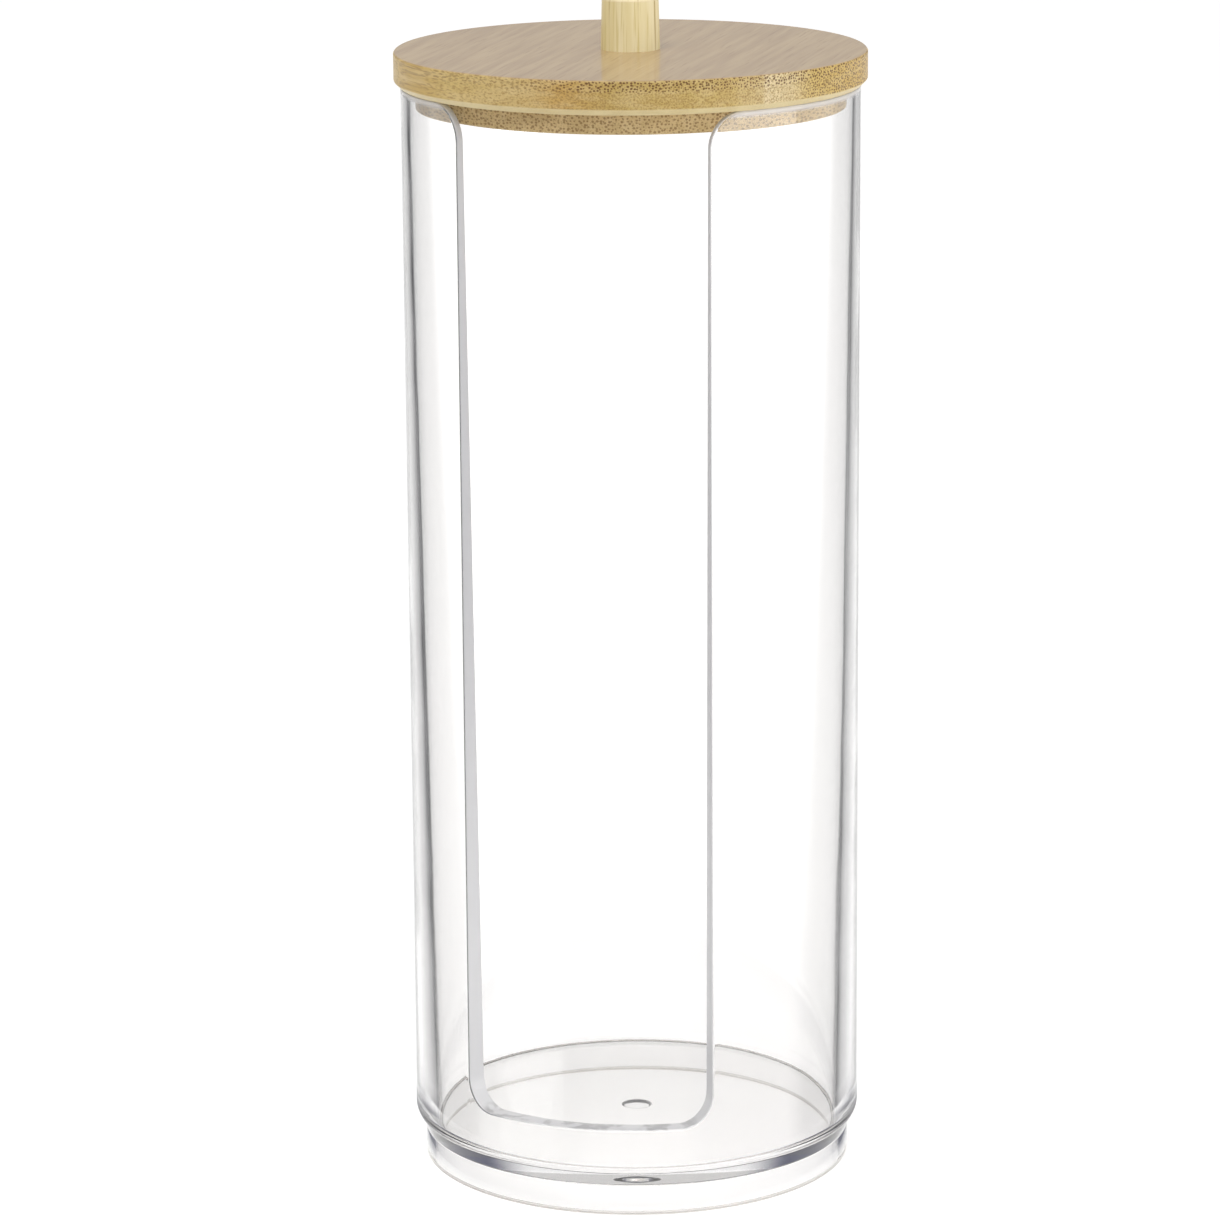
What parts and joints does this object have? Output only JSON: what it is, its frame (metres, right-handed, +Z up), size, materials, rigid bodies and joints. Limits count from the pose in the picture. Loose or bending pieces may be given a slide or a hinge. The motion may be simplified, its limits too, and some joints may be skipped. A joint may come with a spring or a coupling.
{
  "type": "cotton pad holder",
  "caption": "Clear round canister with an open front slot for taking out cotton pads, a stepped foot and a lift-off bamboo lid with a peg knob.",
  "frame": {"origin": "centre of the foot's underside, on the canister's axis", "axes": "+Z up along the canister's axis, the front slot faces -Y"},
  "size_m": [0.072, 0.072, 0.183],
  "materials": {
    "clear_plastic": "clear, polished moulding",
    "lid_bamboo": "bamboo under a thin satin lacquer",
    "knob_bamboo": "pale bamboo under a thin satin lacquer"
  },
  "bodies": {
    "canister": {"canister": "clear_plastic"},
    "lid": {"lid_disc": "lid_bamboo", "lid_plug": "lid_bamboo", "knob": "knob_bamboo"}
  },
  "joints": [
    {"name": "lid_lift", "type": "slide", "parent": "canister", "child": "lid", "axis": [0, 0, 1], "range_m": [0, 0.06]}
  ]
}
